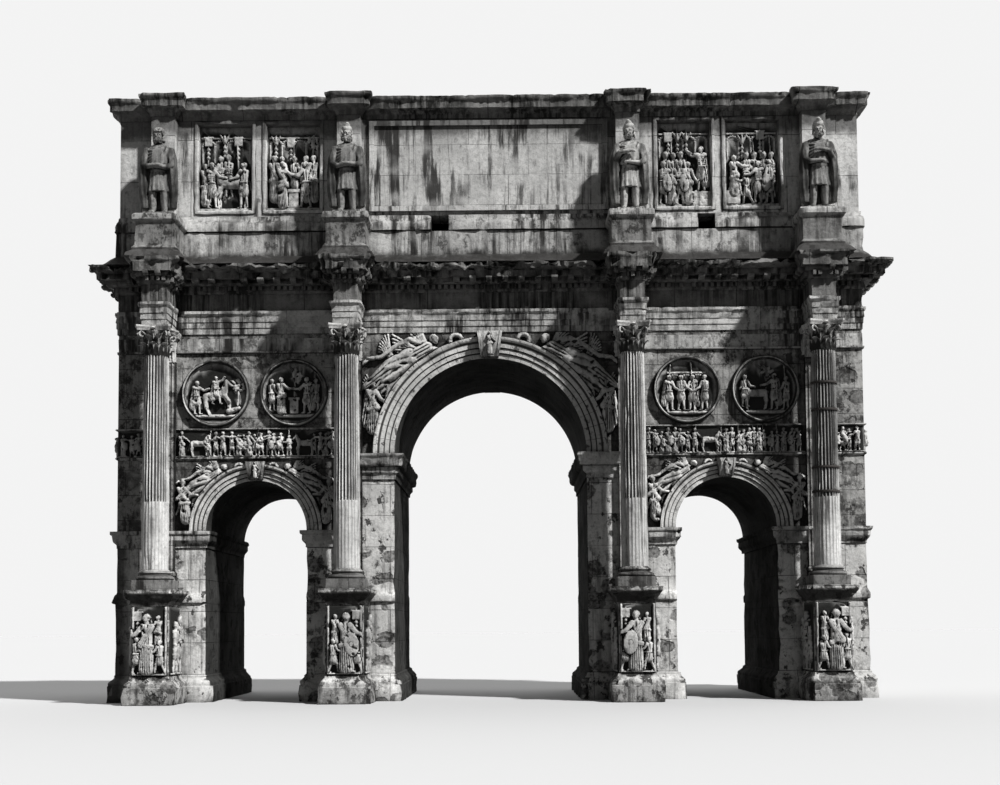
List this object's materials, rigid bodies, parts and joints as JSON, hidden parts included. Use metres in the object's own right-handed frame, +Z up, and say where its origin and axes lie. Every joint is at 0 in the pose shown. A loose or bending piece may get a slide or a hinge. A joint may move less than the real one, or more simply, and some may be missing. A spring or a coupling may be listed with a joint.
{
  "type": "triumphal arch",
  "caption": "Marble triumphal arch with three vaulted passages, detached columns on pedestals and an attic with statues.",
  "frame": {"origin": "on the ground at the middle of the footprint", "axes": "+X along the front to the right, +Y from the front to the back, +Z up"},
  "size_m": [27.26, 10.88, 20.7],
  "materials": {
    "marble": "weathered marble blocks, dry laid, with stains and patches",
    "weathered_marble": "marble mouldings under a dark grey crust",
    "column_marble": "veined marble, dull from weather",
    "carved_marble": "carved marble, worn, dark in its hollows",
    "statue_marble": "weathered veined marble",
    "roof_stone": "rough stone paving"
  },
  "bodies": {
    "root": {"right_outer_pier": "marble", "left_outer_pier": "marble", "right_inner_pier": "marble", "left_inner_pier": "marble", "pilasters": "column_marble", "pilaster_capitals": "carved_marble", "side_imposts": "weathered_marble", "centre_imposts": "weathered_marble", "right_arch_ring": "marble", "left_arch_ring": "marble", "centre_arch_ring": "marble", "side_keystones": "carved_marble", "centre_keystones": "carved_marble", "right_bay_wall": "marble", "left_bay_wall": "marble", "centre_wall": "marble", "pedestals": "marble", "column_bases": "marble", "column_shafts": "column_marble", "column_capitals": "carved_marble", "lower_string_course": "weathered_marble", "relief_frieze": "carved_marble", "upper_bands": "weathered_marble", "roundels": "carved_marble", "architrave": "weathered_marble", "frieze_course": "marble", "main_cornice": "weathered_marble", "statue_stands": "marble", "attic_piers": "marble", "attic_front_base": "weathered_marble", "attic_back_base": "weathered_marble", "attic_end_bases": "weathered_marble", "attic_front_wall": "marble", "attic_back_wall": "marble", "attic_end_walls": "marble", "attic_relief_panels": "carved_marble", "inscription_tablets": "marble", "attic_cornice": "weathered_marble", "roof_slab": "roof_stone", "statues": "statue_marble", "column_blocks": "marble", "cornice_breaks": "weathered_marble", "attic_cornice_breaks": "weathered_marble"}
  },
  "joints": []
}
